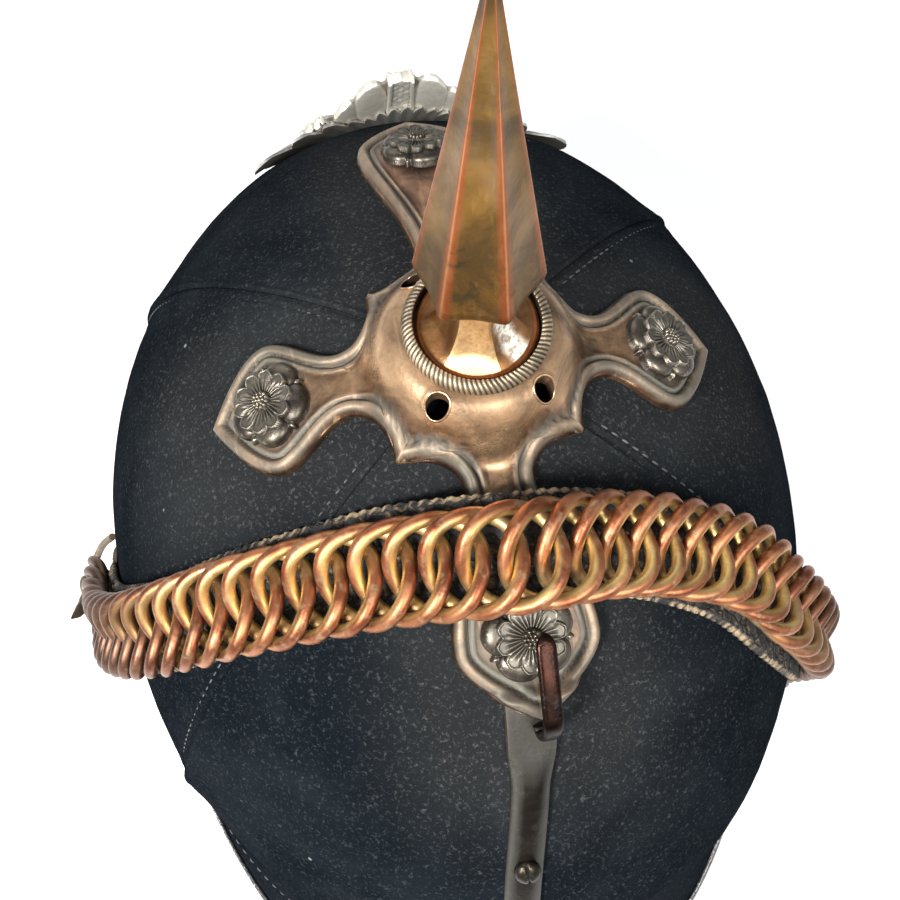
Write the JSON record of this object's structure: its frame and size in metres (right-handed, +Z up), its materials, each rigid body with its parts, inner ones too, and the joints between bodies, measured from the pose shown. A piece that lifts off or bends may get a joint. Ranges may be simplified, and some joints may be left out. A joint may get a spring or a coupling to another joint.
{
  "type": "cloth helmet",
  "caption": "Dark blue cloth-covered helmet with front and back peaks, bronze cross piece and six-sided spike, ring-link chin chain, back spine and a rayed front plate.",
  "frame": {"origin": "on the surface that the helmet stands on, under the middle of its box", "axes": "+Z up the spike, -Y out of the front plate, +X towards the wearer's left"},
  "size_m": [0.2056, 0.3188, 0.2603],
  "materials": {
    "blue_cloth": "napped wool cloth, near black navy",
    "dark_bronze": "darkened bronze with worn copper and gold places",
    "spike_bronze": "worn gilt over bronze",
    "chain_bronze": "polished copper-red bronze with yellow wear",
    "silver_plate": "tarnished silver",
    "patent_leather": "glossy black",
    "strap_leather": "worn black leather and velvet"
  },
  "bodies": {
    "root": {"front_panel": "blue_cloth", "back_panel": "blue_cloth", "left_panel": "blue_cloth", "right_panel": "blue_cloth", "front_peak": "blue_cloth", "back_peak": "blue_cloth", "cloth_band": "blue_cloth", "cross_piece": "dark_bronze", "rose_front": "dark_bronze", "rose_back": "dark_bronze", "rose_left": "dark_bronze", "rose_right": "dark_bronze", "collar": "dark_bronze", "spine": "dark_bronze", "spine_stud": "dark_bronze", "strap_hook": "dark_bronze", "front_peak_binding": "dark_bronze", "side_boss_left": "dark_bronze", "side_boss_right": "dark_bronze", "boss_hook_left": "dark_bronze", "spike": "spike_bronze", "chain_1": "chain_bronze", "chain_2": "chain_bronze", "chain_3": "chain_bronze", "chain_4": "chain_bronze", "chain_5": "chain_bronze", "chain_6": "chain_bronze", "chain_7": "chain_bronze", "chain_8": "chain_bronze", "plate_star": "silver_plate", "plate_wreath": "silver_plate", "plate_crown": "silver_plate", "back_peak_binding": "patent_leather", "chain_strap": "strap_leather"}
  },
  "joints": []
}
